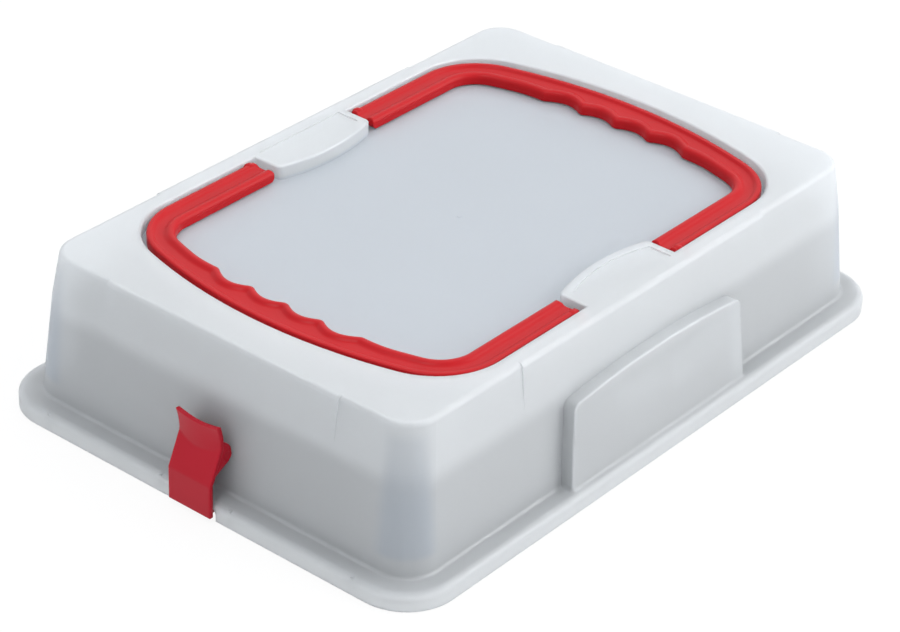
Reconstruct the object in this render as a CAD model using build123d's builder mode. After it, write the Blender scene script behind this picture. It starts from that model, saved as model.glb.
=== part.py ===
from build123d import *
import os

# Rectangular springform pan under a lift-off carrying cover.
# X runs along the long sides, Y along the short sides, Z up. The origin is on the table,
# under the middle of the tray. All sizes are in millimetres.

# Cover: overall form
cover_length = 424.0
cover_width = 300.0
cover_top = 96.5
cover_wall = 1.8
skirt_bottom = 0.6
skirt_corner_radius = 31.0
skirt_edge_round = 4.0
ledge_top = 10.8
ledge_width = 12.8
wall_slope = 0.09
wall_corner_radius = 20.0
wall_corner_radius_top = 18.0
wall_foot_round = 2.0
top_edge_round = 3.0

# Cover: shallow steps in the upper walls
step_foot = 69.0
step_depth = 1.2
step_half_length_long_side = 105.5
step_half_length_short_side = 81.0

# Cover: bulges that clear the latch
bulge_depth = 7.8
bulge_foot_half_length = 77.5
bulge_top_half_length = 73.5
bulge_end_height = 60.5
bulge_mid_height = 65.0
bulge_corner_round = 5.0
bulge_edge_round = 1.2

# Cover: recess for the handles
recess_depth = 8.6
recess_gap_side = 1.6
recess_gap_end = 4.0
recess_edge_round = 1.2
block_half_length = 38.5
block_end_reach = 18.5
block_mid_reach = 24.5
block_corner_round = 4.0
block_dish_depth = 0.7
block_dish_margin = 5.0
block_dish_corner = 1.5
gate_mark_radius = 1.6
gate_mark_height = 0.4

# Cover: locating ribs under the ledge of the short sides
rib_thickness = 1.8
rib_places = (25.0, 109.0)
rib_gap_to_bead = 0.6

# Handles
handle_stand_in_side = 33.5
handle_stand_in_end = 50.4
handle_end_radius = 303.0
handle_corner_radius = 40.0
handle_inner_corner_radius = 20.0
handle_leg_width = 16.0
handle_band_width = 16.0
handle_top_below_rim = 1.3
handle_floor_gap = 0.5
handle_leg_end = 42.0
handle_groove_margin_outer = 3.6
handle_groove_margin_inner = 5.2
handle_groove_depth = 1.9
handle_outer_round = 1.4
finger_line_width = 22.7
finger_groove_width = 17.1
finger_grooves = 4
finger_pitch = 24.5
finger_radius = 17.0
finger_crest_round = 2.6
finger_crest_round_least = 0.6
handle_pin_radius = 2.4
handle_pin_length = 5.4
handle_pin_offset = 3.9
handle_pin_rise = 3.8
handle_socket_clearance = 0.08

# Clips
clip_width = 30.0
clip_thickness = 2.8
clip_foot_height = 2.6
clip_foot_stand_off = 0.1
clip_crease_height = 22.5
clip_crease_bulge = 0.1
clip_neck_height = 42.0
clip_neck_stand_in = 5.6
clip_tip_height = 55.8
clip_tip_flare = 2.6
clip_crescent_depth = 2.2
clip_lip_thickness = 1.8
clip_lip_reach = 7.2
clip_lip_margin = 3.0
clip_axle_height = 36.0
clip_axle_stand_off = 5.0
clip_axle_radius = 2.2
clip_eye_radius = 4.5
clip_eye_clearance = 0.08
clip_web_thickness = 2.6
clip_eye_skin = 0.8
clip_axle_end_gap = 0.3
clip_side_gap = 0.8
clip_rib_thickness = 3.0
clip_rib_round = 3.1
clip_notch_gap = 1.2
clip_notch_under_ledge = 0.6
clip_notch_corner = 4.5

# Tray
tray_sheet = 0.9
tray_skirt_gap = 2.0
tray_bead_radius = 2.0
tray_wall_lean = 4.0
plateau_rise = 3.2
plateau_clearance = 0.3

# Ring of the springform
ring_stand_in_end = 25.0
ring_stand_in_side = 26.0
ring_top = 68.0
ring_sheet = 0.7
ring_corner_radius = 24.0
ring_top_bead_radius = 2.0
ring_foot_bead_radius = 1.4
ring_foot_gap = 0.1
ring_split = 0.8
lap_half_length = 4.4
lap_sheet = 0.6
lap_gap = 0.15

# Latch on the front long side
latch_low = 25.0
latch_height = 26.2
latch_sheet = 1.2
latch_plate_inner_end = 5.0
bracket_outer_end = 37.0
catch_outer_end = 39.0
latch_ear_gap = 0.4
latch_link_gap = 0.6
pin_radius = 1.5
pin_head_radius = 2.3
pin_head_height = 0.7
pin_fixed_clearance = 0.05
pin_turning_clearance = 0.08
catch_clearance = 0.35
lever_axis_x = 14.0
lever_axis_stand_off = 5.4
link_axis_x = 26.0
link_axis_stand_off = 6.0
catch_axis_x = 26.0
ear_radius = 3.2
eye_radius = 2.8
link_sheet = 1.0
lever_over_link = 1.4
lever_bend_x = 36.0
lever_tip_x = 72.0
lever_tip_stand_off = 6.4
lever_grip_x = 62.0
lever_grip_stand_off = 5.4
rivet_radius = 1.6
rivet_head_radius = 2.9
rivet_head_height = 0.9
rivet_inner_head = 0.4
rivet_hole_clearance = 0.05
rivet_head_taper = 35.0
rivet_rows = 14.0
rivet_margin = 4.5

# Sizes that follow
rim_half_x = cover_length / 2
rim_half_y = cover_width / 2
ledge_under = ledge_top - cover_wall
recess_floor = cover_top - recess_depth
recess_under = recess_floor - cover_wall
handle_low = recess_floor + handle_floor_gap
handle_top = cover_top - handle_top_below_rim
handle_side_half_width = rim_half_y - handle_stand_in_side
handle_end_reach = rim_half_x - handle_stand_in_end
handle_arc_centre = handle_end_reach - handle_end_radius
handle_axis_x = handle_leg_end + handle_pin_offset
handle_axis_z = handle_low + handle_pin_rise
recess_half_y = handle_side_half_width + recess_gap_side
clip_axle_x = rim_half_x - ledge_width - wall_slope * (clip_axle_height - ledge_top) + clip_axle_stand_off
tray_bead_x = rim_half_x - cover_wall - tray_skirt_gap - tray_bead_radius
tray_bead_y = rim_half_y - cover_wall - tray_skirt_gap - tray_bead_radius
tray_bead_z = ledge_under - tray_bead_radius
ring_half_x = rim_half_x - ring_stand_in_end
ring_half_y = rim_half_y - ring_stand_in_side
ring_foot = tray_sheet + ring_foot_gap
latch_top = latch_low + latch_height
latch_mid = latch_low + latch_height / 2
lever_low = latch_low + latch_sheet + latch_ear_gap
lever_top = latch_top - latch_sheet - latch_ear_gap
link_low = lever_low + latch_sheet + latch_link_gap
link_top = lever_top - latch_sheet - latch_link_gap
lever_axis_y = -ring_half_y - lever_axis_stand_off
link_axis_y = -ring_half_y - link_axis_stand_off
lever_plate_y = link_axis_y - eye_radius - lever_over_link


def half_length_at(height):
    return rim_half_x - ledge_width - wall_slope * (height - ledge_top)


def half_width_at(height):
    return rim_half_y - ledge_width - wall_slope * (height - ledge_top)


def corner_at(height):
    share = (height - ledge_top) / (cover_top - ledge_top)
    return wall_corner_radius + (wall_corner_radius_top - wall_corner_radius) * share


def tapered_box(low, low_x, low_y, low_r, high, high_x, high_y, high_r):
    """Rounded rectangle at one height joined to another rounded rectangle above it."""
    with BuildPart() as box:
        with BuildSketch(Plane.XY.offset(low)):
            RectangleRounded(2 * low_x, 2 * low_y, low_r)
        with BuildSketch(Plane.XY.offset(high)):
            RectangleRounded(2 * high_x, 2 * high_y, high_r)
        loft(ruled=True)
    return box.part


def side_slab(inset, low, roof, edge, half_at, slab_half_length, section_plane):
    """Middle stretch of two opposite walls: a symmetric trapezoid carried along the wall."""
    with BuildPart() as slab:
        with BuildSketch(section_plane) as section:
            with BuildLine():
                Polyline(
                    (-half_at(low) + inset, low),
                    (half_at(low) - inset, low),
                    (half_at(roof) - inset, roof),
                    (-half_at(roof) + inset, roof),
                    close=True,
                )
            make_face()
            fillet(section.vertices().group_by(Axis.Z)[-1], edge)
        extrude(amount=slab_half_length, both=True)
    return slab.part


def wall_form(inset, low, roof, edge):
    """The drafted walls of the cover, with their proud middle stretches, as one solid."""
    lower = tapered_box(
        low,
        half_length_at(low) - inset,
        half_width_at(low) - inset,
        corner_at(low) - inset,
        step_foot,
        half_length_at(step_foot) - inset,
        half_width_at(step_foot) - inset,
        corner_at(step_foot) - inset,
    )
    upper = tapered_box(
        step_foot,
        half_length_at(step_foot) - inset,
        half_width_at(step_foot) - inset,
        corner_at(step_foot) - inset,
        roof,
        half_length_at(roof) - inset - step_depth,
        half_width_at(roof) - inset - step_depth,
        corner_at(roof) - inset,
    )
    slab_low = step_foot - 2 * top_edge_round
    long_sides = side_slab(
        inset, slab_low, roof, edge, half_width_at, step_half_length_long_side - inset, Plane.YZ
    )
    short_sides = side_slab(
        inset, slab_low, roof, edge, half_length_at, step_half_length_short_side - inset, Plane.XZ
    )
    with BuildPart() as upper_rounded:
        add(upper)
        fillet(upper_rounded.faces().sort_by(Axis.Z)[-1].edges(), edge)
    with BuildPart() as form:
        add(lower)
        add(upper_rounded.part)
        add(long_sides)
        add(short_sides)
    return form.part


def bulge_form(inset, low):
    """Both latch bulges: an arched outline met by a face parallel to the wall."""
    foot = bulge_foot_half_length - inset
    shoulder = bulge_top_half_length - inset
    edge = bulge_edge_round - inset
    with BuildPart() as form:
        with BuildSketch(Plane.YZ):
            with BuildLine():
                Polyline(
                    (-half_width_at(low) - bulge_depth + inset, low),
                    (half_width_at(low) + bulge_depth - inset, low),
                    (half_width_at(cover_top) + bulge_depth - inset, cover_top),
                    (-half_width_at(cover_top) - bulge_depth + inset, cover_top),
                    close=True,
                )
            make_face()
        extrude(amount=bulge_foot_half_length, both=True)
        with BuildSketch(Plane.XZ) as outline:
            with BuildLine():
                ThreePointArc(
                    (-shoulder, bulge_end_height - inset),
                    (0, bulge_mid_height - inset),
                    (shoulder, bulge_end_height - inset),
                )
                Polyline(
                    (shoulder, bulge_end_height - inset),
                    (foot, low),
                    (-foot, low),
                    (-shoulder, bulge_end_height - inset),
                )
            make_face()
            fillet(outline.vertices().group_by(Axis.Z)[-1], bulge_corner_round - inset)
        extrude(amount=cover_width, both=True, mode=Mode.INTERSECT)
        if edge > 0:
            for face in (form.faces().sort_by(Axis.Y)[0], form.faces().sort_by(Axis.Y)[-1]):
                fillet(face.edges().filter_by(lambda e: e.center().Z > low + edge), edge)
    return form.part


def block_outline(side, grow):
    """Plan of one block: it stands in from the long side, and its inner edge is bowed."""
    end_y = side * (recess_half_y - block_end_reach - grow)
    mid_y = side * (recess_half_y - block_mid_reach - grow)
    back_y = side * (recess_half_y + ledge_width)
    half = block_half_length + grow
    with BuildSketch() as outline:
        with BuildLine():
            ThreePointArc((-half, end_y), (0, mid_y), (half, end_y))
            Polyline((half, end_y), (half, back_y), (-half, back_y), (-half, end_y))
        make_face()
        inner = outline.vertices().filter_by(lambda v: abs(v.Y) < recess_half_y)
        fillet(inner, max(block_corner_round + grow, block_dish_corner))
    return outline.sketch


def recess_outline(grow):
    """Plan of the recess: straight long sides, bowed ends, less the two blocks."""
    end_radius = handle_end_radius + recess_gap_end + grow
    with BuildSketch() as outline:
        Rectangle(cover_length, 2 * (recess_half_y + grow))
        with Locations((handle_arc_centre, 0)):
            Circle(end_radius, mode=Mode.INTERSECT)
        with Locations((-handle_arc_centre, 0)):
            Circle(end_radius, mode=Mode.INTERSECT)
        fillet(outline.vertices(), handle_corner_radius + recess_gap_end + grow)
        for side in (1, -1):
            add(block_outline(side, -grow), mode=Mode.SUBTRACT)
    return outline.sketch


def rounded_ring_sweep(half_x, half_y, corner, height, radius):
    """Round bead that follows a rounded rectangle."""
    with BuildSketch(Plane.XY.offset(height)) as plan:
        RectangleRounded(2 * half_x, 2 * half_y, corner)
    course = plan.sketch.face().outer_wire()
    with BuildPart() as bead:
        with BuildSketch(Plane(origin=course @ 0, z_dir=course % 0)):
            Circle(radius)
        sweep(path=course)
    return bead.part


def handle_outer(shrink, start_x):
    """Plan inside the handle's outer edge, from start_x out to the bowed end."""
    radius = handle_end_radius - shrink
    half = handle_side_half_width - shrink
    with BuildSketch() as plan:
        with Locations((start_x, 0)):
            Rectangle(cover_length, 2 * half, align=(Align.MIN, Align.CENTER))
        with Locations((handle_arc_centre, 0)):
            Circle(radius, mode=Mode.INTERSECT)
        fillet(plan.vertices().group_by(Axis.X)[-1], handle_corner_radius - shrink)
    return plan.sketch


def handle_inner(grow, start_x):
    """Plan inside the handle's inner edge, with its finger grooves."""
    half = handle_side_half_width - handle_leg_width + grow
    finger_line_x = handle_end_reach - finger_line_width + grow
    finger_centre_x = handle_end_reach - finger_groove_width - finger_radius
    with BuildSketch() as plan:
        with Locations((start_x, 0)):
            Rectangle(finger_line_x - start_x, 2 * half, align=(Align.MIN, Align.CENTER))
        with Locations((handle_arc_centre, 0)):
            Circle(handle_end_radius - handle_band_width + grow, mode=Mode.INTERSECT)
        corners = plan.vertices().filter_by(lambda v: v.X > start_x and abs(v.Y) > half - finger_radius)
        fillet(corners, handle_inner_corner_radius + grow)
        outline = plan.vertices()
        with Locations((finger_centre_x, 0)):
            with GridLocations(0, finger_pitch, 1, finger_grooves):
                Circle(finger_radius + grow)
        fillet(plan.vertices() - outline, max(finger_crest_round - grow, finger_crest_round_least))
    return plan.sketch


def both_ends(part):
    """A part of the +X end and its mirror image at the -X end."""
    with BuildPart() as pair:
        add(part)
        mirror(part, about=Plane.YZ)
    return pair.part


# Cover shell
wall_outside = wall_form(0, ledge_under, cover_top, top_edge_round)
wall_inside = wall_form(cover_wall, ledge_under, cover_top - cover_wall, top_edge_round - cover_wall)
bulge_outside = bulge_form(0, ledge_under)
bulge_inside = bulge_form(cover_wall, ledge_under)
notch_half_width = clip_width / 2 + clip_notch_gap
notch_height = ledge_under - clip_notch_under_ledge - skirt_bottom
web_inner_y = clip_width / 2 - clip_web_thickness
clip_rib_outer_y = web_inner_y - clip_side_gap
clip_eye_half_length = clip_width / 2 - clip_eye_skin
socket_radius = handle_pin_radius + handle_socket_clearance
skirt_inner_x = rim_half_x - cover_wall
picking_margin = cover_wall / 4
rib_inner_x = tray_bead_x + tray_bead_radius + rib_gap_to_bead

with BuildPart() as cover_end_features:
    for side in (1, -1):
        for place in rib_places:
            with Locations((rib_inner_x, side * place, skirt_bottom + cover_wall)):
                Box(
                    skirt_inner_x - rib_inner_x + cover_wall / 2,
                    rib_thickness,
                    ledge_under - skirt_bottom,
                    align=(Align.MIN, Align.CENTER, Align.MIN),
                )
    with BuildSketch(Plane.XZ) as rib_section:
        with Locations((clip_axle_x, clip_axle_height)):
            Circle(clip_rib_round)
            Rectangle(
                clip_axle_stand_off + cover_wall / 2,
                2 * clip_rib_round,
                align=(Align.MAX, Align.CENTER),
            )
    extrude(amount=clip_rib_outer_y, both=True)
    with Locations((clip_axle_x, 0, clip_axle_height)):
        Box(
            cover_length - 2 * ledge_width,
            2 * (clip_rib_outer_y - clip_rib_thickness),
            clip_axle_height,
            mode=Mode.SUBTRACT,
        )
    with BuildSketch(Plane.XZ):
        with Locations((clip_axle_x, clip_axle_height)):
            Circle(clip_axle_radius)
    extrude(amount=clip_eye_half_length - clip_axle_end_gap, both=True)

with BuildPart() as cover:
    with BuildSketch(Plane.XY.offset(skirt_bottom)):
        RectangleRounded(cover_length, cover_width, skirt_corner_radius)
    extrude(amount=ledge_top - skirt_bottom)
    fillet(cover.faces().sort_by(Axis.Z)[-1].edges(), skirt_edge_round)
    add(wall_outside)
    add(bulge_outside)
    ledge = cover.faces().filter_by(Axis.Z).filter_by(lambda f: abs(f.center().Z - ledge_top) < picking_margin)
    fillet(ledge.sort_by(SortBy.AREA)[-1].inner_wires().edges(), wall_foot_round)
    with BuildSketch(Plane.XY.offset(skirt_bottom)):
        RectangleRounded(
            cover_length - 2 * cover_wall,
            cover_width - 2 * cover_wall,
            skirt_corner_radius - cover_wall,
        )
    extrude(amount=ledge_under - skirt_bottom, mode=Mode.SUBTRACT)
    with BuildSketch(Plane.YZ):
        with Locations((0, skirt_bottom)):
            RectangleRounded(2 * notch_half_width, 2 * notch_height, clip_notch_corner)
    extrude(amount=cover_length, both=True, mode=Mode.SUBTRACT)
    add(wall_inside, mode=Mode.SUBTRACT)
    add(bulge_inside, mode=Mode.SUBTRACT)
    with BuildSketch(Plane.XY.offset(recess_under)):
        add(recess_outline(cover_wall))
    extrude(amount=cover_top - cover_wall / 2 - recess_under)
    with BuildSketch(Plane.XY.offset(recess_floor)):
        add(recess_outline(0))
    extrude(amount=cover_top, mode=Mode.SUBTRACT)
    fillet(cover.faces().sort_by(Axis.Z)[-1].inner_wires().edges(), recess_edge_round)
    for side in (1, -1):
        with BuildSketch(Plane.XY.offset(cover_top - block_dish_depth)):
            add(block_outline(side, -block_dish_margin))
            Rectangle(
                cover_length,
                2 * (recess_half_y + recess_gap_side),
                mode=Mode.INTERSECT,
            )
        extrude(amount=cover_wall, mode=Mode.SUBTRACT)
    with Locations((0, 0, recess_floor)):
        Cylinder(gate_mark_radius, 2 * gate_mark_height)
    add(both_ends(cover_end_features.part))
    for end in (1, -1):
        for side in (1, -1):
            with Locations((end * handle_axis_x, side * (recess_half_y + cover_wall / 2), handle_axis_z)):
                Cylinder(socket_radius, handle_pin_length, rotation=(90, 0, 0), mode=Mode.SUBTRACT)

# Handles
with BuildPart() as handle_right:
    with BuildSketch(Plane.XY.offset(handle_low)):
        add(handle_outer(0, handle_leg_end))
        add(handle_inner(0, 0), mode=Mode.SUBTRACT)
    extrude(amount=handle_top - handle_low)
    fillet(handle_right.faces().sort_by(Axis.Z)[-1].edges(), handle_outer_round)
    with BuildSketch(Plane.XY.offset(handle_top - handle_groove_depth)):
        add(handle_outer(handle_groove_margin_outer, 0))
        add(handle_inner(handle_groove_margin_inner, -handle_leg_end), mode=Mode.SUBTRACT)
    extrude(amount=handle_groove_depth, mode=Mode.SUBTRACT)
    with BuildSketch(Plane.XZ):
        with Locations((handle_leg_end, handle_low)):
            Rectangle(handle_pin_offset, handle_pin_rise, align=(Align.MIN, Align.MIN))
        with Locations((handle_axis_x, handle_axis_z)):
            Circle(handle_pin_offset, mode=Mode.SUBTRACT)
    extrude(amount=cover_width, both=True, mode=Mode.SUBTRACT)
    for side in (1, -1):
        with BuildSketch(Plane.XZ.offset(-side * (handle_side_half_width - handle_groove_margin_outer))):
            with Locations((handle_axis_x, handle_axis_z)):
                Circle(handle_pin_radius)
        extrude(amount=-side * (handle_pin_length + handle_groove_margin_outer))

with BuildPart() as handle_left:
    mirror(handle_right.part, about=Plane.YZ)

# Clips
clip_inner_x = rim_half_x + clip_foot_stand_off
clip_outer_x = clip_inner_x + clip_thickness
clip_neck_x = rim_half_x - clip_neck_stand_in
clip_tip_x = clip_neck_x + clip_tip_flare
crescent_radius = ((clip_width / 2) ** 2 + clip_crescent_depth**2) / (2 * clip_crescent_depth)

with BuildPart() as clip_right:
    with BuildSketch(Plane.XZ) as profile:
        with BuildLine():
            crease = (clip_outer_x + clip_crease_bulge, clip_crease_height)
            neck = (clip_neck_x, clip_neck_height)
            foot_line = Line((clip_outer_x, clip_foot_height), crease)
            panel_line = Line(crease, neck)
            tab_arc = TangentArc(neck, (clip_tip_x, clip_tip_height), tangent=(0, 1))
            offset(amount=clip_thickness, side=Side.LEFT)
        make_face()
    extrude(amount=clip_width / 2, both=True)
    with BuildSketch(Plane.YZ):
        with Locations((0, clip_tip_height - clip_crescent_depth + crescent_radius)):
            Circle(crescent_radius)
    extrude(amount=cover_length, mode=Mode.SUBTRACT)
    with Locations((clip_inner_x + clip_thickness / 2, 0, clip_foot_height)):
        Box(
            clip_lip_reach + clip_thickness / 2,
            clip_width - 2 * clip_lip_margin,
            clip_lip_thickness,
            align=(Align.MAX, Align.CENTER, Align.MIN),
        )
    with BuildSketch(Plane.XZ) as web:
        with Locations((clip_axle_x, clip_axle_height)):
            Circle(clip_eye_radius)
        with BuildLine():
            Polyline(
                (clip_axle_x, clip_axle_height + clip_eye_radius),
                (clip_neck_x - clip_thickness / 2, clip_neck_height),
                (clip_inner_x, clip_crease_height + clip_eye_radius),
                (clip_axle_x, clip_axle_height - clip_eye_radius),
                close=True,
            )
        make_face()
    extrude(amount=clip_width / 2, both=True)
    with BuildSketch(Plane.XZ):
        with Locations((clip_axle_x, clip_axle_height)):
            Circle(clip_eye_radius + clip_side_gap)
    extrude(amount=web_inner_y, both=True, mode=Mode.SUBTRACT)
    with BuildSketch(Plane.XZ):
        with Locations((clip_axle_x, clip_axle_height)):
            Circle(clip_axle_radius + clip_eye_clearance)
    extrude(amount=clip_eye_half_length, both=True, mode=Mode.SUBTRACT)

with BuildPart() as clip_left:
    mirror(clip_right.part, about=Plane.YZ)

# Tray
bead_corner = skirt_corner_radius - cover_wall - tray_skirt_gap - tray_bead_radius
plateau_half_x = ring_half_x - ring_sheet - plateau_clearance
plateau_half_y = ring_half_y - ring_sheet - plateau_clearance
plateau_corner = ring_corner_radius - ring_sheet - plateau_clearance
tray_outside = tapered_box(
    0,
    tray_bead_x - tray_wall_lean,
    tray_bead_y - tray_wall_lean,
    bead_corner - tray_wall_lean,
    tray_bead_z,
    tray_bead_x,
    tray_bead_y,
    bead_corner,
)
tray_inside = tapered_box(
    tray_sheet,
    tray_bead_x - tray_wall_lean - tray_sheet,
    tray_bead_y - tray_wall_lean - tray_sheet,
    bead_corner - tray_wall_lean - tray_sheet,
    tray_bead_z + tray_sheet,
    tray_bead_x - tray_sheet,
    tray_bead_y - tray_sheet,
    bead_corner - tray_sheet,
)

with BuildPart() as tray:
    add(tray_outside)
    add(tray_inside, mode=Mode.SUBTRACT)
    add(rounded_ring_sweep(tray_bead_x, tray_bead_y, bead_corner, tray_bead_z, tray_bead_radius))
    with BuildSketch(Plane.XY.offset(tray_sheet)):
        RectangleRounded(2 * plateau_half_x, 2 * plateau_half_y, plateau_corner)
    extrude(amount=plateau_rise)
    with BuildSketch():
        RectangleRounded(
            2 * (plateau_half_x - tray_sheet),
            2 * (plateau_half_y - tray_sheet),
            plateau_corner - tray_sheet,
        )
    extrude(amount=plateau_rise, mode=Mode.SUBTRACT)

# Ring of the springform
top_bead_z = ring_top - ring_top_bead_radius
foot_bead_z = ring_foot + ring_foot_bead_radius
top_bead_shift = ring_top_bead_radius - ring_sheet
foot_bead_shift = ring_foot_bead_radius - ring_sheet
rivet_hole = rivet_radius + rivet_hole_clearance
plate_length = bracket_outer_end - latch_plate_inner_end
catch_plate_length = catch_outer_end - latch_plate_inner_end
bracket_mid_x = (bracket_outer_end + latch_plate_inner_end) / 2
catch_mid_x = -(catch_outer_end + latch_plate_inner_end) / 2
bracket_rivet_pitch = plate_length - 2 * rivet_margin
catch_rivet_pitch = catch_plate_length - 2 * rivet_margin
ring_face = Plane.XZ.offset(ring_half_y)


def rivet_holes(mid_x, pitch):
    """Two rows of two rivet holes through everything on the front side."""
    with BuildPart() as holes:
        with BuildSketch(ring_face):
            with Locations((mid_x, latch_mid)):
                with GridLocations(pitch, rivet_rows, 2, 2):
                    Circle(rivet_hole)
        extrude(amount=link_axis_stand_off, both=True)
    return holes.part


with BuildPart() as ring:
    with BuildSketch(Plane.XY.offset(ring_foot + ring_foot_bead_radius)):
        RectangleRounded(2 * ring_half_x, 2 * ring_half_y, ring_corner_radius)
        RectangleRounded(
            2 * (ring_half_x - ring_sheet),
            2 * (ring_half_y - ring_sheet),
            ring_corner_radius - ring_sheet,
            mode=Mode.SUBTRACT,
        )
    extrude(amount=top_bead_z - foot_bead_z)
    add(
        rounded_ring_sweep(
            ring_half_x + top_bead_shift,
            ring_half_y + top_bead_shift,
            ring_corner_radius + top_bead_shift,
            top_bead_z,
            ring_top_bead_radius,
        )
    )
    add(
        rounded_ring_sweep(
            ring_half_x + foot_bead_shift,
            ring_half_y + foot_bead_shift,
            ring_corner_radius + foot_bead_shift,
            foot_bead_z,
            ring_foot_bead_radius,
        )
    )
    with Locations((0, -ring_half_y, 0)):
        Box(
            ring_split,
            ring_corner_radius,
            2 * ring_top,
            mode=Mode.SUBTRACT,
        )
    lap_low = foot_bead_z + 2 * ring_foot_bead_radius
    lap_high = top_bead_z - 2 * ring_top_bead_radius
    with Locations((0, -ring_half_y - lap_gap, lap_low)):
        Box(
            2 * lap_half_length,
            lap_sheet,
            lap_high - lap_low,
            align=(Align.CENTER, Align.MAX, Align.MIN),
        )
    with Locations((-lap_half_length, -ring_half_y, lap_low)):
        Box(
            lap_half_length - ring_split,
            lap_gap + lap_sheet,
            lap_high - lap_low,
            align=(Align.MIN, Align.MAX, Align.MIN),
        )
    add(rivet_holes(bracket_mid_x, bracket_rivet_pitch), mode=Mode.SUBTRACT)
    add(rivet_holes(catch_mid_x, catch_rivet_pitch), mode=Mode.SUBTRACT)


# Latch
def riveted_plate(inner_x, outer_x, axis_x, axis_y, holes):
    """Base plate with two ears that carry an upright pin."""
    with BuildPart() as plate:
        with BuildSketch(ring_face):
            with Locations(((inner_x + outer_x) / 2, latch_mid)):
                RectangleRounded(abs(outer_x - inner_x), latch_height, ear_radius)
        extrude(amount=latch_sheet)
        for low in (latch_low, latch_top - latch_sheet):
            with BuildSketch(Plane.XY.offset(low)):
                with Locations((axis_x, -ring_half_y)):
                    Rectangle(2 * ear_radius, -axis_y - ring_half_y, align=(Align.CENTER, Align.MAX))
                with Locations((axis_x, axis_y)):
                    Circle(ear_radius)
                    Circle(pin_radius + pin_fixed_clearance, mode=Mode.SUBTRACT)
            extrude(amount=latch_sheet)
        add(holes, mode=Mode.SUBTRACT)
    return plate.part


def headed_pin(axis_x, axis_y, low, high):
    """Upright pin with a flat head at each end, over the outer faces at low and high."""
    with BuildPart() as pin:
        with BuildSketch(Plane.XY.offset(low)):
            with Locations((axis_x, axis_y)):
                Circle(pin_radius)
        extrude(amount=high - low)
        for base in (low - pin_head_height, high):
            with BuildSketch(Plane.XY.offset(base)):
                with Locations((axis_x, axis_y)):
                    Circle(pin_head_radius)
            extrude(amount=pin_head_height)
    return pin.part


def rivets(mid_x, pitch):
    """Four rivets that hold a latch plate on the ring."""
    with BuildPart() as group:
        with BuildSketch(ring_face.offset(latch_sheet)):
            with Locations((mid_x, latch_mid)):
                with GridLocations(pitch, rivet_rows, 2, 2):
                    Circle(rivet_radius)
        extrude(amount=-latch_sheet - ring_sheet)
        with BuildSketch(ring_face.offset(latch_sheet)):
            with Locations((mid_x, latch_mid)):
                with GridLocations(pitch, rivet_rows, 2, 2):
                    Circle(rivet_head_radius)
        extrude(amount=rivet_head_height, taper=rivet_head_taper)
        with BuildSketch(ring_face.offset(-ring_sheet)):
            with Locations((mid_x, latch_mid)):
                with GridLocations(pitch, rivet_rows, 2, 2):
                    Circle(rivet_head_radius)
        extrude(amount=-rivet_inner_head, taper=rivet_head_taper)
    return group.part


with BuildPart() as latch_bracket:
    add(
        riveted_plate(
            latch_plate_inner_end,
            bracket_outer_end,
            lever_axis_x,
            lever_axis_y,
            rivet_holes(bracket_mid_x, bracket_rivet_pitch),
        )
    )

with BuildPart() as latch_catch:
    add(
        riveted_plate(
            -latch_plate_inner_end,
            -catch_outer_end,
            -catch_axis_x,
            link_axis_y,
            rivet_holes(catch_mid_x, catch_rivet_pitch),
        )
    )

with BuildPart() as latch_lever:
    with BuildSketch(Plane.XY.offset(lever_low)) as strip:
        with BuildLine():
            Polyline(
                (lever_axis_x + ear_radius, lever_plate_y - latch_sheet),
                (lever_bend_x, lever_plate_y - latch_sheet),
                (lever_grip_x, -ring_half_y - lever_grip_stand_off - latch_sheet),
                (lever_tip_x, -ring_half_y - lever_tip_stand_off - latch_sheet),
                (lever_tip_x, -ring_half_y - lever_tip_stand_off),
                (lever_grip_x, -ring_half_y - lever_grip_stand_off),
                (lever_bend_x, lever_plate_y),
                (lever_axis_x + ear_radius, lever_plate_y),
                close=True,
            )
        make_face()
    extrude(amount=lever_top - lever_low)
    for low in (lever_low, lever_top - latch_sheet):
        with BuildSketch(Plane.XY.offset(low)):
            with BuildLine():
                Polyline(
                    (lever_axis_x, lever_axis_y + ear_radius),
                    (link_axis_x, link_axis_y + ear_radius),
                    (link_axis_x + ear_radius, link_axis_y),
                    (lever_bend_x, lever_plate_y),
                    (lever_axis_x + ear_radius, lever_plate_y),
                    (lever_axis_x - ear_radius, lever_axis_y),
                    close=True,
                )
            make_face()
            with Locations((lever_axis_x, lever_axis_y), (link_axis_x, link_axis_y)):
                Circle(ear_radius)
            with Locations((lever_axis_x, lever_axis_y)):
                Circle(pin_radius + pin_turning_clearance, mode=Mode.SUBTRACT)
            with Locations((link_axis_x, link_axis_y)):
                Circle(pin_radius + pin_fixed_clearance, mode=Mode.SUBTRACT)
        extrude(amount=latch_sheet)
    fillet(latch_lever.edges().filter_by(Axis.Y).group_by(Axis.X)[-1], ear_radius)

with BuildPart() as latch_link:
    with BuildSketch(Plane.XY.offset(link_low)):
        with Locations((-catch_axis_x, link_axis_y), (link_axis_x, link_axis_y)):
            Circle(eye_radius)
        with Locations(((link_axis_x - catch_axis_x) / 2, link_axis_y - eye_radius)):
            Rectangle(link_axis_x + catch_axis_x, link_sheet, align=(Align.CENTER, Align.MIN))
        with Locations((link_axis_x, link_axis_y)):
            Circle(pin_radius + pin_turning_clearance, mode=Mode.SUBTRACT)
        with Locations((-catch_axis_x, link_axis_y)):
            Circle(pin_radius + catch_clearance, mode=Mode.SUBTRACT)
    extrude(amount=link_top - link_low)

with BuildPart() as lever_pin:
    add(headed_pin(lever_axis_x, lever_axis_y, latch_low, latch_top))

with BuildPart() as link_pin:
    add(headed_pin(link_axis_x, link_axis_y, lever_low, lever_top))

with BuildPart() as catch_pin:
    add(headed_pin(-catch_axis_x, link_axis_y, latch_low, latch_top))

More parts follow.
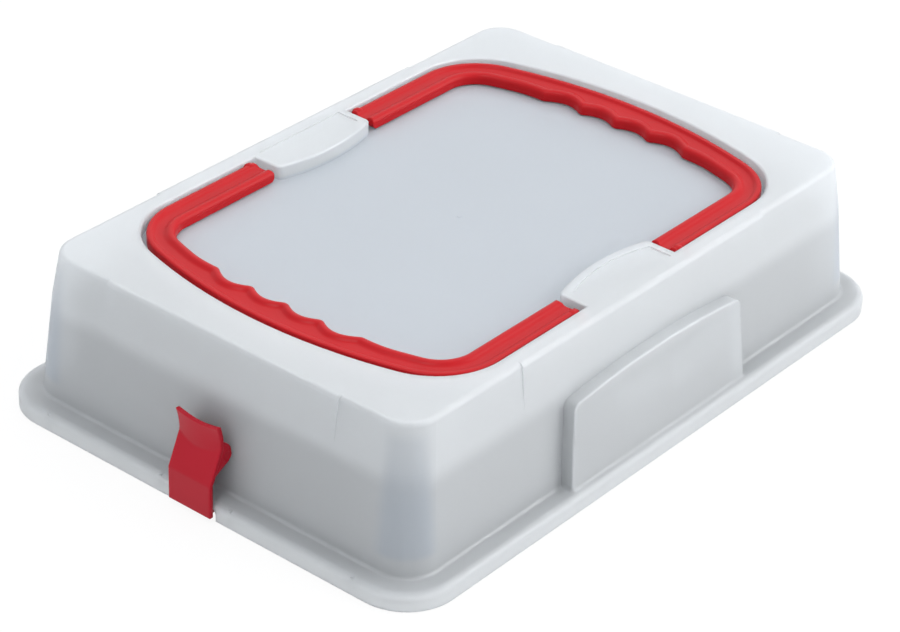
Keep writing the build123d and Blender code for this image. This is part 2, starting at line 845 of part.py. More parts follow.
with BuildPart() as bracket_rivets:
    add(rivets(bracket_mid_x, bracket_rivet_pitch))

with BuildPart() as catch_rivets:
    add(rivets(catch_mid_x, catch_rivet_pitch))

# One file for each piece
pieces = {
    "cover_shell": cover,
    "handle_left": handle_left,
    "handle_right": handle_right,
    "clip_left": clip_left,
    "clip_right": clip_right,
    "base_tray": tray,
    "pan_ring": ring,
    "latch_bracket": latch_bracket,
    "latch_catch": latch_catch,
    "latch_lever": latch_lever,
    "latch_link": latch_link,
    "lever_pin": lever_pin,
    "link_pin": link_pin,
    "catch_pin": catch_pin,
    "bracket_rivets": bracket_rivets,
    "catch_rivets": catch_rivets,
}
os.makedirs("parts", exist_ok=True)
for name, piece in pieces.items():
    piece.part.label = name
    export_step(piece.part, f"parts/{name}.step")
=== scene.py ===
import math

import bmesh
import bpy
import numpy as np
from mathutils import Matrix, Vector


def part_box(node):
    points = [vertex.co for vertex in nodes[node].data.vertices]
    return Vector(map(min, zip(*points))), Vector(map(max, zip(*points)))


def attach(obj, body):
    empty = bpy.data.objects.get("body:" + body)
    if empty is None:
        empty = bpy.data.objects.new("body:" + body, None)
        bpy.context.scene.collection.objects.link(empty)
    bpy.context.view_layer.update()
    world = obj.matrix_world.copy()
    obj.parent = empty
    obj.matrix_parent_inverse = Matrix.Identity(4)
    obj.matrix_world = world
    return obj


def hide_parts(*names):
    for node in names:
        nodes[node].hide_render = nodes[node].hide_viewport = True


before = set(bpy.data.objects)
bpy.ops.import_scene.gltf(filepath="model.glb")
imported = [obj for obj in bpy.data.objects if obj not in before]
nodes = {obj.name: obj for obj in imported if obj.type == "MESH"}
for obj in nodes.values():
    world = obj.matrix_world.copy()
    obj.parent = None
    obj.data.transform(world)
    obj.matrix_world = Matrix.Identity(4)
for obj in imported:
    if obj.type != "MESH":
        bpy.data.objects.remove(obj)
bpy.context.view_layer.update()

# Camera, as fitted to the photograph: angles in degrees, lengths in metres

AZIMUTH, ELEVATION, ROLL = -51.181, 31.576, 2.201
DISTANCE, ASIDE, UPWARD, AIM_HEIGHT = 1.701601, -0.004019, -0.022809, 0.05
LENS, SENSOR = 121.94, 36.0


def make_camera():
    """Looks along an azimuth, an elevation and a roll, and is set aside from its aim in its own plane."""
    a, e, t = (math.radians(v) for v in (AZIMUTH, ELEVATION, ROLL))
    back = np.array([math.sin(a) * math.cos(e), -math.cos(a) * math.cos(e), math.sin(e)])
    level = np.array([math.cos(a), math.sin(a), 0.0])
    upright = np.cross(back, level)
    right = level * math.cos(t) + upright * math.sin(t)
    up = upright * math.cos(t) - level * math.sin(t)
    place = back * DISTANCE + right * ASIDE + up * UPWARD + np.array([0, 0, AIM_HEIGHT])
    data = bpy.data.cameras.new("camera")
    data.lens, data.sensor_width, data.sensor_fit = LENS, SENSOR, "HORIZONTAL"
    data.clip_start, data.clip_end = 0.05, 50
    camera = bpy.data.objects.new("camera", data)
    bpy.context.scene.collection.objects.link(camera)
    turn = Matrix((right, up, back)).transposed().to_4x4()
    camera.matrix_world = Matrix.Translation(place) @ turn
    bpy.context.scene.camera = camera


# Shader maths


class Socket:
    """An output socket of a material's nodes. Arithmetic between sockets and numbers makes Math nodes."""

    def __init__(self, tree, socket):
        self.tree, self.socket = tree, socket

    def node(self, kind, inputs=None, output=0, **settings):
        """Any other node: inputs by name or index, each a value or a Socket."""
        made = self.tree.nodes.new(kind)
        for name, value in settings.items():
            setattr(made, name, value)
        for key, value in (inputs or {}).items():
            if isinstance(value, Socket):
                self.tree.links.new(value.socket, made.inputs[key])
            else:
                made.inputs[key].default_value = value
        return Socket(self.tree, made.outputs[output])

    def maths(self, operation, *others):
        return self.node("ShaderNodeMath", dict(enumerate((self,) + others)), operation=operation)

    def __add__(self, other):
        return self.maths("ADD", other)

    def __mul__(self, other):
        return self.maths("MULTIPLY", other)

    def __rsub__(self, other):
        return self.node("ShaderNodeMath", {0: other, 1: self}, operation="SUBTRACT")

    __radd__ = __add__
    __rmul__ = __mul__

    def clamp(self, low=0.0, high=1.0):
        return self.maths("MAXIMUM", low).maths("MINIMUM", high)

    def absolute(self):
        return self.maths("ABSOLUTE")

    def smooth(self, low, high):
        """0 below low and 1 above high, with a soft change between them."""
        ends = {"Value": self, "From Min": low, "From Max": high}
        return self.node("ShaderNodeMapRange", ends, interpolation_type="SMOOTHSTEP")

    def noise(self, scale, detail=3.0, roughness=0.5):
        inputs = {"Vector": self, "Scale": scale, "Detail": detail, "Roughness": roughness}
        return self.node("ShaderNodeTexNoise", inputs)

    def mixed(self, first, second):
        """The colour first where this is 0 and second where it is 1."""
        return self.node("ShaderNodeMix", {0: self, 6: first, 7: second}, output=2, data_type="RGBA")


def new_material(name):
    """An empty material: its tree's start, in object coordinates."""
    material = bpy.data.materials.new(name)
    material.use_nodes = True
    tree = material.node_tree
    tree.nodes.clear()
    coordinates = tree.nodes.new("ShaderNodeTexCoord")
    return material, Socket(tree, coordinates.outputs["Object"])


def show(where, shader):
    out = where.tree.nodes.new("ShaderNodeOutputMaterial")
    where.tree.links.new(shader.socket, out.inputs["Surface"])


def bump(where, height, distance, strength=1.0):
    return where.node("ShaderNodeBump", {"Height": height, "Distance": distance, "Strength": strength})


def grey(value, warm=0.0):
    return (value + warm, value, value - warm, 1)


# Materials. Where the cover's painted shade sets in, low and high, in metres from the middle or the floor

RING_TOP = (0.057, 0.069)
CORNER_X = (0.174, 0.184)
CORNER_Y = (0.109, 0.119)
CORNER_FOOT = (0.019, 0.024)
CORNER_FADE = (0.048, 0.084)
CORNER_TOP = (0.084, 0.093)
RECESS_X = (0.160, 0.166)
RECESS_Y = (0.115, 0.121)
RECESS_UNDER = (0.080, 0.083)
RECESS_OVER = (0.0885, 0.0905)

FROST_DEEP, FROST_LIT = (0.89, 0.915, 0.93, 1), (0.91, 0.93, 0.945, 1)
# Painted shade colours of the cover: greyer below the ring's top, bluish grey at the corners, bluish in the
# recess floor
FROST_RING_SHADE = (0.765, 0.785, 0.80, 1)
FROST_CORNER_SHADE = (0.67, 0.715, 0.765, 1)
FROST_RECESS_SHADE = (0.81, 0.855, 0.905, 1)
FROST_THROUGH = (0.95, 0.965, 0.98, 1)


def frosted_plastic():
    """Frosted polypropylene: pale and slightly blue, letting soft light and dim shapes through.

    Painted shade: below the top of the sheet ring inside it the wall is painted a little greyer, and
    bluish grey at the upright corners, where the ring comes closest to it. The thin floor of the recess
    is painted a bluish shade too, over the dark tray. These stand in for the dark steel seen through the
    frosted wall, and stay when the cover is lifted.
    """
    material, at = new_material("frosted_plastic")
    cloud = at.noise(9, 2)
    grain = at.noise(2600, 2, 0.6)
    drawn = at.noise(55, 3)
    normal = bump(at, grain * 0.6 + drawn, 0.00012, 0.25)
    x, y, z = (at.node("ShaderNodeSeparateXYZ", {0: at}, output=k) for k in range(3))
    # Painted shade: the wall is greyer below the sheet ring's top
    ring_shade = 1 - z.smooth(*RING_TOP)
    # Painted shade: bluish grey at the upright corners, where the ring comes closest to the wall
    corner = x.absolute().smooth(*CORNER_X) * y.absolute().smooth(*CORNER_Y)
    corner = corner * z.smooth(*CORNER_FOOT) * (1 - z.smooth(*CORNER_TOP))
    corner = corner * (1 - z.smooth(*CORNER_FADE) * 0.6)
    colour = ring_shade.mixed(cloud.mixed(FROST_DEEP, FROST_LIT), FROST_RING_SHADE)
    # Painted shade: the thin recess floor is bluish and darker, over the dark tray
    recess = (1 - x.absolute().smooth(*RECESS_X)) * (1 - y.absolute().smooth(*RECESS_Y))
    recess = recess * z.smooth(*RECESS_UNDER) * (1 - z.smooth(*RECESS_OVER))
    colour = corner.mixed(recess.mixed(colour, FROST_RECESS_SHADE), FROST_CORNER_SHADE)
    skin = at.node(
        "ShaderNodeBsdfPrincipled",
        {
            "Base Color": colour,
            "Roughness": 0.36 + drawn * 0.05,
            "Normal": normal,
            "IOR": 1.45,
            "Specular IOR Level": 0.2,
            "Transmission Weight": 0.66,
        },
    )
    through = at.node("ShaderNodeBsdfTranslucent", {"Color": FROST_THROUGH})
    show(at, at.node("ShaderNodeMixShader", {0: 0.12, 1: skin, 2: through}))
    return material


def red_plastic(name, deep, lit, gloss):
    """Satin red moulding with a fine mould grain and faint flow marks."""
    material, at = new_material(name)
    flow = at.noise(30, 3)
    grain = at.noise(3200, 2, 0.6)
    colour = flow.mixed(deep, lit)
    skin = at.node(
        "ShaderNodeBsdfPrincipled",
        {
            "Base Color": colour,
            "Roughness": 0.30 + flow * 0.12,
            "Normal": bump(at, grain, 0.00005, 0.3),
            "IOR": 1.49,
            "Specular IOR Level": gloss,
        },
    )
    show(at, skin)
    return material


RED_HANDLE = ((0.36, 0.004, 0.007, 1), (0.42, 0.008, 0.012, 1), 0.15)
RED_CLIP = ((0.33, 0.003, 0.012, 1), (0.38, 0.005, 0.018, 1), 0.2)


def coated_steel():
    """Dark non-stick coating: slightly uneven satin with fine specks."""
    material, at = new_material("coated_steel")
    cloud = at.noise(40, 4)
    speck = at.noise(1500, 1).smooth(0.62, 0.72)
    colour = (cloud * 0.6 + speck * 0.4).clamp().mixed(grey(0.028), grey(0.075, 0.002))
    skin = at.node(
        "ShaderNodeBsdfPrincipled",
        {"Base Color": colour, "Roughness": 0.36 + cloud * 0.14, "Normal": bump(at, speck, 0.00004, 0.4)},
    )
    show(at, skin)
    return material


def pressed_steel(name, value, across):
    """Bright steel with fine drawn lines along one direction."""
    material, at = new_material(name)
    stretched = at.node("ShaderNodeMapping", {"Vector": at, "Scale": across})
    lines = stretched.noise(90, 4, 0.7)
    patch = at.noise(60, 3)
    skin = at.node(
        "ShaderNodeBsdfPrincipled",
        {
            "Base Color": patch.mixed(grey(value - 0.06), grey(value + 0.04)),
            "Metallic": 1.0,
            "Roughness": 0.22 + lines * 0.16,
            "Normal": bump(at, lines, 0.00003, 0.5),
        },
    )
    show(at, skin)
    return material


def paint(material, *names):
    for name in names:
        slots = nodes[name].material_slots
        if not slots:
            nodes[name].data.materials.append(material)
        for slot in slots:
            slot.material = material


# Surfaces worked out on grids, in millimetres

MM = 0.001


def soft_max(a, b, blend):
    """The larger of two arrays, rounded over where they are closer than blend."""
    near = np.maximum(blend - np.abs(a - b), 0) / blend
    return np.maximum(a, b) + near**2 * blend / 4


def soft_min(a, b, blend):
    return -soft_max(-a, -b, blend)


def has_area(ring):
    """False for a ring that is pinched to a line: its cross products add up to nothing."""
    return np.linalg.norm(np.cross(ring, np.roll(ring, -1, 0)).sum(0)) > 1e-3


def rings_to_faces(rings):
    """Quads between neighbouring rings of a (rings, points, 3) grid, and a flat face over each open end."""
    count, around = rings.shape[:2]
    k, j = np.meshgrid(np.arange(count - 1), np.arange(around), indexing="ij")
    a = k * around + j
    b = k * around + (j + 1) % around
    quads = np.stack([a, b, b + around, a + around], -1).reshape(-1, 4).tolist()
    first = list(range(around - 1, -1, -1))
    last = list(range((count - 1) * around, count * around))
    return quads + [cap for cap, ring in ((first, rings[0]), (last, rings[-1])) if has_area(ring)]


def make_piece(name, shells, material, body, sharp=38.0):
    """One mesh of closed shells, each a grid of rings in millimetres, that stands for its body's node."""
    points, faces, start = [], [], 0
    for rings in shells:
        points.append(rings.reshape(-1, 3) * MM)
        faces += [[start + v for v in face] for face in rings_to_faces(rings)]
        start += rings.shape[0] * rings.shape[1]
    mesh = bpy.data.meshes.new(name)
    mesh.from_pydata(np.concatenate(points).tolist(), [], faces)
    work = bmesh.new()
    work.from_mesh(mesh)
    bmesh.ops.remove_doubles(work, verts=work.verts, dist=1e-7)
    bmesh.ops.dissolve_degenerate(work, edges=work.edges, dist=1e-7)
    bmesh.ops.recalc_face_normals(work, faces=work.faces)
    work.to_mesh(mesh)
    work.free()
    mesh.polygons.foreach_set("use_smooth", np.ones(len(mesh.polygons), bool))
    mesh.set_sharp_from_angle(angle=math.radians(sharp))
    mesh.materials.append(material)
    piece = bpy.data.objects.new(name, mesh)
    bpy.context.scene.collection.objects.link(piece)
    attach(piece, body)
    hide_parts(body)
    return piece


def box_of(node):
    low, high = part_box(node)
    return np.array(low) / MM, np.array(high) / MM


def section_normals(ring):
    """Unit normals, pointing out, of a closed ring of 2-D points that runs clockwise."""
    along = np.roll(ring, -1, 0) - np.roll(ring, 1, 0)
    normal = np.stack([-along[:, 1], along[:, 0]], -1)
    return normal / np.linalg.norm(normal, axis=1, keepdims=True)


# Handles: a bow with a sunk groove between a flat outer bead and a rounder inner one

HANDLE_HALF_WIDTH = 116.5
HANDLE_END_RADIUS = 303.0
HANDLE_CORNER = 40.0
HANDLE_INNER_CORNER = 20.0
HANDLE_BAND = 16.7
FINGER_LINE = 23.6
FINGER_GROOVE = 17.8
FINGER_RADIUS = 15.0
FINGER_PITCH = 24.5
FINGER_REACH = 70.0
PAD_BLEND, CREST_BLEND = 2.0, 6.0
PIN_RADIUS, PIN_SETBACK, PIN_RISE = 2.4, 3.9, 3.8
COLLAR_RADIUS = 3.5
END_ROUND = 0.5
# How far a leg's end may reach from the pin's axis and still clear the recess when it turns
END_SWING = 4.2

# How far in from the outer edge and how far down from the top, then in from the inner edge and down
OUTER_SECTION = ((0, 1.3), (0.12, 0.72), (0.42, 0.3), (0.95, 0.06), (1.6, 0), (2.5, 0.02), (3.1, 0.2))
OUTER_SLOPE = ((3.6, 0.6), (4.1, 1.15), (4.8, 1.6), (5.8, 1.82), (6.8, 1.9))
INNER_SLOPE = ((7.6, 1.9), (6.7, 1.78), (5.9, 1.42), (5.2, 0.85), (4.6, 0.4))
INNER_CREST = ((3.9, 0.12), (3.2, 0), (2.5, 0.03), (1.8, 0.2))
INNER_SECTION = INNER_CREST + ((1.1, 0.6), (0.5, 1.25), (0.12, 2.2), (0, 3.6))
FOOT_CHAMFER = 0.45


def fillet_arc(centre_x, line_y, end_radius, corner, points):
    """Corner arc between a straight leg and the bow's circle, and the bow's half angle where it ends."""
    y = line_y - corner
    reach = end_radius - corner
    x = centre_x + math.sqrt(reach**2 - y**2)
    half_angle = math.asin(y / reach)
    turn = np.linspace(math.pi / 2, half_angle, points)
    return np.stack([x + corner * np.cos(turn), y + corner * np.sin(turn)], -1), half_angle


def finger_edge(y, centre_x, reach):
    """Inner edge of the bow: its circle cut by a straight pad, with round bites for four fingers."""
    circle = centre_x + np.sqrt((HANDLE_END_RADIUS - HANDLE_BAND) ** 2 - y**2)
    edge = soft_min(circle, reach - FINGER_LINE, PAD_BLEND)
    for place in (np.arange(4) - 1.5) * FINGER_PITCH:
        inside = np.maximum(FINGER_RADIUS**2 - (y - place) ** 2, 0)
        bite = reach - FINGER_GROOVE - FINGER_RADIUS + np.sqrt(inside)
        edge = soft_max(edge, bite, CREST_BLEND)
    return edge


def handle_course(leg_end, reach):
    """Matching points along the outer and the inner edge, from one leg's end round the bow to the other's."""
    centre_x = reach - HANDLE_END_RADIUS
    legs, turns, bow = 36, 26, 240
    inner_half = HANDLE_HALF_WIDTH - HANDLE_BAND
    edges = []
    for line_y, radius, corner in (
        (HANDLE_HALF_WIDTH, HANDLE_END_RADIUS, HANDLE_CORNER),
        (inner_half, HANDLE_END_RADIUS - HANDLE_BAND, HANDLE_INNER_CORNER),
    ):
        arc, half_angle = fillet_arc(centre_x, line_y, radius, corner, turns)
        share = np.linspace(0, 1, legs, endpoint=False)[:, None] ** 1.6
        leg = np.array([leg_end + END_ROUND, line_y]) * (1 - share) + arc[0] * share
        turn = np.linspace(half_angle, -half_angle, bow)[1:-1]
        sweep = np.stack([centre_x + radius * np.cos(turn), radius * np.sin(turn)], -1)
        half = np.concatenate([leg, arc])
        edges.append(np.concatenate([half, sweep, half[::-1] * (1, -1)]))
    outer, inner = edges
    on_bow = np.abs(inner[:, 1]) < FINGER_REACH
    inner[on_bow, 0] = finger_edge(inner[on_bow, 1], centre_x, reach)
    return outer, inner


def handle_shell(node):
    """The bow's section carried along its course, rounded over and closed at both legs' ends."""
    low, high = box_of(node)
    reach, leg_end = max(abs(low[0]), abs(high[0])), min(abs(low[0]), abs(high[0]))
    outer, inner = handle_course(leg_end, reach)
    across = inner - outer
    width = np.linalg.norm(across, axis=1)
    across /= width[:, None]
    top, foot = high[2], low[2]

    def ring_at(k, shrink):
        """Section at station k in its own plane: distance in from the outer edge, and height."""
        ring = [(FOOT_CHAMFER, foot), (0, foot + FOOT_CHAMFER)]
        ring += [(a, top - drop) for a, drop in OUTER_SECTION + OUTER_SLOPE]
        ring += [(width[k] - b, top - drop) for b, drop in INNER_SLOPE + INNER_SECTION]
        ring += [(width[k], foot + FOOT_CHAMFER), (width[k] - FOOT_CHAMFER, foot)]
        ring = np.array(ring)
        return ring - section_normals(ring) * shrink

    def place(k, shrink, past):
        """The section stood up at station k, moved past it along the leg."""
        ring = ring_at(k, shrink)
        flat = outer[k] + across[k] * ring[:, :1]
        x = flat[:, 0] + past
        before_pin = np.maximum(leg_end + PIN_SETBACK - x, 0)
        below = np.sqrt(np.maximum(PIN_SETBACK**2 - before_pin**2, 0))
        above = np.sqrt(np.maximum(END_SWING**2 - before_pin**2, 0))
        z = np.clip(ring[:, 1], foot + PIN_RISE - below, foot + PIN_RISE + above)
        return np.stack([x, flat[:, 1], np.where(before_pin > 0, z, ring[:, 1])], -1)

    last = len(outer) - 1
    turn = np.linspace(0, math.pi / 2, 5)[:-1]
    rounding = [(END_ROUND * (1 - math.sin(t)), -END_ROUND * math.cos(t)) for t in turn]
    rings = [place(0, shrink, past) for shrink, past in rounding]
    rings += [place(k, 0, 0) for k in range(last + 1)]
    rings += [place(last, shrink, past) for shrink, past in rounding[::-1]]
    return np.array(rings)


def turned_shell(centre, profile, points=40):
    """Pairs of (distance along Y, radius) turned round an axis along Y through a centre in X and Z."""
    turn = np.linspace(0, 2 * math.pi, points, endpoint=False)
    along, radius = np.array(profile, float).T
    x = centre[0] + radius[:, None] * np.cos(turn)
    z = centre[1] + radius[:, None] * np.sin(turn)
    return np.stack([x, np.broadcast_to(along[:, None], x.shape), z], -1)


def handle_pin(node, side):
    """The pin at one leg's end, with the collar that flares from the leg to it."""
    low, high = box_of(node)
    leg_end = min(abs(low[0]), abs(high[0]))
    face, tip = HANDLE_HALF_WIDTH, high[1]
    profile = [
        (face - 3.5, COLLAR_RADIUS - 0.7),
        (face - 3.0, COLLAR_RADIUS - 0.15),
        (face - 2.2, COLLAR_RADIUS),
        (face - 0.2, COLLAR_RADIUS),
        (face + 0.3, COLLAR_RADIUS - 0.2),
        (face + 0.8, COLLAR_RADIUS - 0.75),
        (face + 1.2, PIN_RADIUS),
        (tip - 0.5, PIN_RADIUS),
        (tip - 0.12, PIN_RADIUS - 0.18),
        (tip, PIN_RADIUS - 0.6),
    ]
    shell = turned_shell((leg_end + PIN_SETBACK, low[2] + PIN_RISE), profile)
    return shell * (1, side, 1)


def make_handle(node, material):
    mirrored = (-1, 1, 1) if node == "handle_left" else (1, 1, 1)
    shells = [handle_shell(node), handle_pin(node, 1), handle_pin(node, -1)]
    shells = [shell * mirrored for shell in shells]
    return make_piece(node + "_moulding", shells, material, node)


# Clips: a creased strap with a curved tab, two webs that turn on the axle and a lip under the tray's bead

CLIP_HALF_WIDTH = 15.0
CLIP_THICKNESS = 2.8
CLIP_CREASE_HEIGHT = 22.5
CLIP_NECK_HEIGHT = 42.0
CLIP_NECK_STAND_IN = 5.6
CLIP_STAND_OFF = 0.2
CLIP_TIP_FLARE = 2.6
CLIP_CRESCENT = 2.2
CLIP_TAB_BULGE = 1.8
CLIP_EDGE_ROUND = 0.8
CLIP_AXLE_FROM_FACE = 13.07
CLIP_AXLE_HEIGHT = 36.0
CLIP_WEB_INSIDE = 12.4
CLIP_BOSS_HALF_HEIGHT = 6.0
CLIP_BOSS_HALF_DEPTH = 4.1
CLIP_BOSS_OFF_AXLE = (0.45, 1.2)
CLIP_HUB_RADIUS = 3.5
CLIP_LIP_REACH = 7.2
CLIP_LIP_HALF_WIDTH = 12.0
CLIP_LIP_THICKNESS = 1.8
CLIP_LIP_NOSE, CLIP_LIP_ROOT = 0.7, 2.0
CLIP_LIP_SINK = 1.4
# Where a web leaves the strap: how far behind the foot's face, and how far above the neck or the crease
CLIP_WEB_TOP = (9.6, 1.5)
CLIP_WEB_FOOT = (1.8, 3.0)


def clip_face(y, z, face_x, top):
    """Outer face of the strap: upright, then leaning in from the crease, then a bulged and flared tab."""
    neck_x = face_x - CLIP_STAND_OFF - CLIP_THICKNESS - CLIP_NECK_STAND_IN
    lean = (face_x - neck_x) / (CLIP_NECK_HEIGHT - CLIP_CREASE_HEIGHT)
    panels = soft_min(face_x + 0 * z, face_x - lean * (z - CLIP_CREASE_HEIGHT), 0.35)
    rise = np.maximum(z - CLIP_NECK_HEIGHT, 0)
    run = top - CLIP_NECK_HEIGHT
    radius = (run**2 + CLIP_TIP_FLARE**2) / (2 * CLIP_TIP_FLARE)
    flare = radius - np.sqrt(radius**2 - rise**2)
    bulge = CLIP_TAB_BULGE * (1 - (y / CLIP_HALF_WIDTH) ** 2) * (1 - np.minimum(rise / run, 1) ** 2)
    return soft_max(panels, neck_x + flare + bulge, 0.3)


def rounded_section(half_width, thickness, corner, points):
    """A flat rounded rectangle: Y across it and depth below its outer face, the same count on both faces."""
    y = np.linspace(-half_width + corner, half_width - corner, points)
    turn = np.linspace(0, math.pi / 2, 5)[1:]
    right = [(half_width - corner + corner * math.sin(t), corner - corner * math.cos(t)) for t in turn]
    face = np.array([(-a, d) for a, d in right[::-1]] + [(v, 0) for v in y] + right)
    back = face[::-1] * (1, -1) + (0, thickness)
    return np.concatenate([face, back])


def strap_shell(low, high):
    """The strap: a rounded section carried up its face, rounded at the foot and hollowed along the top."""
    face_x, top, foot = high[0], high[2], low[2]
    section = rounded_section(CLIP_HALF_WIDTH, CLIP_THICKNESS, CLIP_EDGE_ROUND, 31)
    y, depth = section[:, 0], section[:, 1]
    radius = (CLIP_HALF_WIDTH**2 + CLIP_CRESCENT**2) / (2 * CLIP_CRESCENT)
    hollow = CLIP_CRESCENT - radius + np.sqrt(radius**2 - y**2)
    share = np.linspace(0, 1, 90)
    start = CLIP_NECK_HEIGHT
    rings = []

    def ring(z, shrink):
        """The ring through height z, drawn in evenly by shrink."""
        level = z - hollow * max(z - start, 0) / (top - start)
        inward = np.clip(depth, shrink, CLIP_THICKNESS - shrink)
        side = np.clip(y, -CLIP_HALF_WIDTH + shrink, CLIP_HALF_WIDTH - shrink)
        face = clip_face(side, level, face_x, top)
        above, below = (clip_face(side, level + step, face_x, top) for step in (0.05, -0.05))
        slope = (above - below) / 0.1
        return np.stack([face - inward * np.sqrt(1 + slope**2), side, level], -1)

    turn = np.linspace(0, math.pi / 2, 5)[:-1]
    edge = CLIP_EDGE_ROUND * 0.75
    rings += [ring(foot + edge * (1 - math.cos(t)), edge * (1 - math.sin(t))) for t in turn]
    rings += [ring(foot + edge + (top - foot - 2 * edge) * t, 0) for t in share]
    rings += [ring(top - edge + edge * math.sin(t), edge * (1 - math.cos(t))) for t in turn[1:]]
    rings += [ring(top, edge), ring(top, CLIP_THICKNESS / 2)]
    return np.array(rings)


def lip_shell(low, high):
    """The lip: an L-shaped section with a filleted root, carried across the foot."""
    inner_x, foot = high[0] - CLIP_STAND_OFF / 2 - CLIP_THICKNESS, low[2]
    tip, roof = inner_x - CLIP_LIP_REACH, foot + CLIP_LIP_THICKNESS
    turn = np.linspace(0, math.pi / 2, 6)
    nose_x, under, over = tip + CLIP_LIP_NOSE, foot + CLIP_LIP_NOSE, roof - CLIP_LIP_NOSE
    nose = [(nose_x - CLIP_LIP_NOSE * math.sin(t), under - CLIP_LIP_NOSE * math.cos(t)) for t in turn]
    nose += [(nose_x - CLIP_LIP_NOSE * math.cos(t), over + CLIP_LIP_NOSE * math.sin(t)) for t in turn]
    root_x, root_z = inner_x - CLIP_LIP_ROOT, roof + CLIP_LIP_ROOT
    root = [(root_x + CLIP_LIP_ROOT * math.sin(t), root_z - CLIP_LIP_ROOT * math.cos(t)) for t in turn]
    back_x = inner_x + CLIP_LIP_SINK
    section = np.array([(back_x, foot + 0.1)] + nose + root + [(back_x, root_z)])
    middle = section.mean(0)
    rings = []
    for y, shrink in ((-1, 0.5), (-0.99, 0.15), (-0.96, 0), (0.96, 0), (0.99, 0.15), (1, 0.5)):
        inward = middle - section
        drawn = section + inward / np.linalg.norm(inward, axis=1, keepdims=True) * shrink
        rings.append(np.stack([drawn[:, 0], np.full(len(drawn), y * CLIP_LIP_HALF_WIDTH), drawn[:, 1]], -1))
    return np.array(rings)


def web_shell(high, side):
    """One web: an oval boss round the axle, tangents from it to the strap, and a raised ring outside."""
    axle = np.array([high[0] - CLIP_AXLE_FROM_FACE, CLIP_AXLE_HEIGHT])
    centre = axle + CLIP_BOSS_OFF_AXLE
    half = np.array([CLIP_BOSS_HALF_DEPTH, CLIP_BOSS_HALF_HEIGHT])
    strap_high = np.array([high[0] - CLIP_WEB_TOP[0], CLIP_NECK_HEIGHT + CLIP_WEB_TOP[1]])
    strap_low = np.array([high[0] - CLIP_WEB_FOOT[0], CLIP_CREASE_HEIGHT + CLIP_WEB_FOOT[1]])
    ends = []
    for corner, way in ((strap_high, 1), (strap_low, -1)):
        away = (corner - centre) / half
        distance = np.linalg.norm(away)
        ends.append(math.atan2(away[1], away[0]) + way * math.acos(1 / distance))
    turn = np.linspace(ends[0], ends[1] + 2 * math.pi, 44)
    oval = centre + half * np.stack([np.cos(turn), np.sin(turn)], -1)
    stops = (oval[-1], strap_low, strap_high, oval[0])
    share = np.linspace(0, 1, 14, endpoint=False)[:, None]
    runs = [a * (1 - share) + b * share for a, b in zip(stops, stops[1:])]
    outline = np.concatenate(runs + [oval[:-1]])
    away = outline - axle
    away /= np.linalg.norm(away, axis=1, keepdims=True)
    rings = []
    for y, shrink in ((CLIP_WEB_INSIDE, 0), (14.2, 0), (14.55, 0.1), (14.78, 0.3), (14.85, 0.65)):
        rings.append((y, outline - away * shrink))
    for y, inward in ((14.85, 0), (15.02, 0.15), (15.08, 0.5), (15.02, 0.85), (14.75, 1.0), (14.75, 2.9)):
        rings.append((y, axle + away * (CLIP_HUB_RADIUS - inward)))
    return np.array([np.stack([r[:, 0], np.full(len(r), side * y), r[:, 1]], -1) for y, r in rings])


def make_clip(node, material):
    low, high = box_of(node)
    if node == "clip_left":
        low, high = np.array([-high[0], low[1], low[2]]), np.array([-low[0], high[1], high[2]])
    shells = [strap_shell(low, high), lip_shell(low, high), web_shell(high, 1), web_shell(high, -1)]
    mirrored = (-1, 1, 1) if node == "clip_left" else (1, 1, 1)
    shells = [shell * mirrored for shell in shells]
    return make_piece(node + "_moulding", shells, material, node, sharp=30.0)


# Stage. Lamps: name, place, aim, edge in metres, power in watts

LAMPS = (
    ("key_lamp", (0.9, 0.6, 2.0), (0, 0, 0.05), 2.0, 13),
    ("fill_lamp", (1.5, -2.2, 1.5), (0, 0, 0.05), 2.8, 84),
    ("side_lamp", (-1.2, -0.1, 2.1), (-0.1, 0, 0.05), 0.9, 16),
)
WORLD_COLOUR, WORLD_STRENGTH = (0.93, 0.96, 1.0, 1), 0.86
FLOOR_HALF, FLOOR_DROP, FLOOR_WHITE = 6.0, 0.0005, 0.9


def seen_white(where, share):
    """The share for rays from the camera, in reflections and straight through, and 0 for all other light."""
    path = where.node("ShaderNodeLightPath")
    outs = {o.name: Socket(where.tree, o) for o in path.socket.node.outputs}
    straight = outs["Is Transmission Ray"] * (1 - outs["Is Diffuse Ray"])
    seen = (outs["Is Camera Ray"] + outs["Is Glossy Ray"] + straight).clamp()
    return seen * share


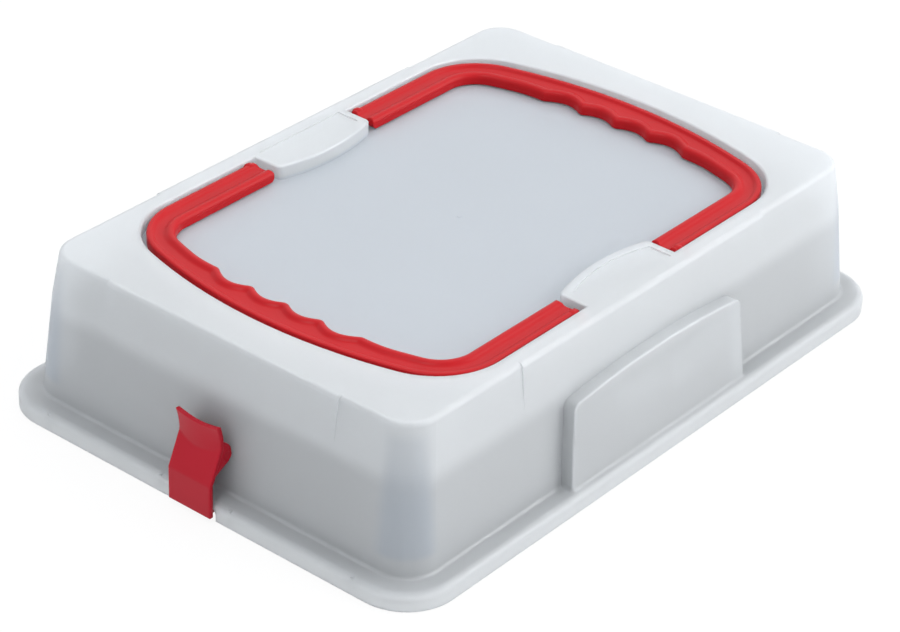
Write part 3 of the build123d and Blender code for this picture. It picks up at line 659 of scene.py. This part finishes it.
def make_stage():
    """A wide pale floor, three soft lamps and an even pale world."""
    material, at = new_material("floor_paper")
    paper = at.node("ShaderNodeBsdfPrincipled", {"Base Color": grey(0.86), "Roughness": 0.9})
    white = at.node("ShaderNodeEmission", {"Color": grey(1.0), "Strength": 1.0})
    show(at, at.node("ShaderNodeMixShader", {0: seen_white(at, FLOOR_WHITE), 1: paper, 2: white}))
    mesh = bpy.data.meshes.new("floor")
    corners = [(x * FLOOR_HALF, y * FLOOR_HALF, 0) for x, y in ((-1, -1), (1, -1), (1, 1), (-1, 1))]
    mesh.from_pydata(corners, [], [(0, 1, 2, 3)])
    mesh.materials.append(material)
    floor = bpy.data.objects.new("floor", mesh)
    bpy.context.scene.collection.objects.link(floor)
    floor.location.z = -FLOOR_DROP

    world = bpy.data.worlds.new("world")
    bpy.context.scene.world = world
    world.use_nodes = True
    tree = world.node_tree
    tree.nodes.clear()
    start = Socket(tree, tree.nodes.new("ShaderNodeLightPath").outputs["Is Camera Ray"])
    plain = start.node("ShaderNodeBackground", {"Color": WORLD_COLOUR, "Strength": WORLD_STRENGTH})
    bright = start.node("ShaderNodeBackground", {"Color": grey(1.0), "Strength": 1.0})
    both = start.node("ShaderNodeMixShader", {0: seen_white(start, 1.0), 1: plain, 2: bright})
    out = tree.nodes.new("ShaderNodeOutputWorld")
    tree.links.new(both.socket, out.inputs["Surface"])

    for name, place, aim, size, power in LAMPS:
        data = bpy.data.lights.new(name, "AREA")
        data.size, data.energy = size, power
        lamp = bpy.data.objects.new(name, data)
        bpy.context.scene.collection.objects.link(lamp)
        away = Vector(place) - Vector(aim)
        lamp.matrix_world = Matrix.Translation(place) @ away.to_track_quat("Z", "Y").to_matrix().to_4x4()


make_camera()
make_stage()
bpy.context.scene.view_settings.view_transform = "Standard"

paint(frosted_plastic(), "cover_shell")
red_handle = red_plastic("red_handle_plastic", *RED_HANDLE)
red_clip = red_plastic("red_clip_plastic", *RED_CLIP)
for node in ("handle_left", "handle_right"):
    paint(red_handle, node)
    make_handle(node, red_handle)
for node in ("clip_left", "clip_right"):
    paint(red_clip, node)
    make_clip(node, red_clip)
paint(coated_steel(), "base_tray", "pan_ring")
sheet_steel = pressed_steel("latch_sheet_steel", 0.62, (0.15, 1, 1))
paint(sheet_steel, "latch_bracket", "latch_catch", "latch_lever", "latch_link")
pin_steel = pressed_steel("pin_steel", 0.56, (1, 1, 0.15))
paint(pin_steel, "lever_pin", "link_pin", "catch_pin", "bracket_rivets", "catch_rivets")
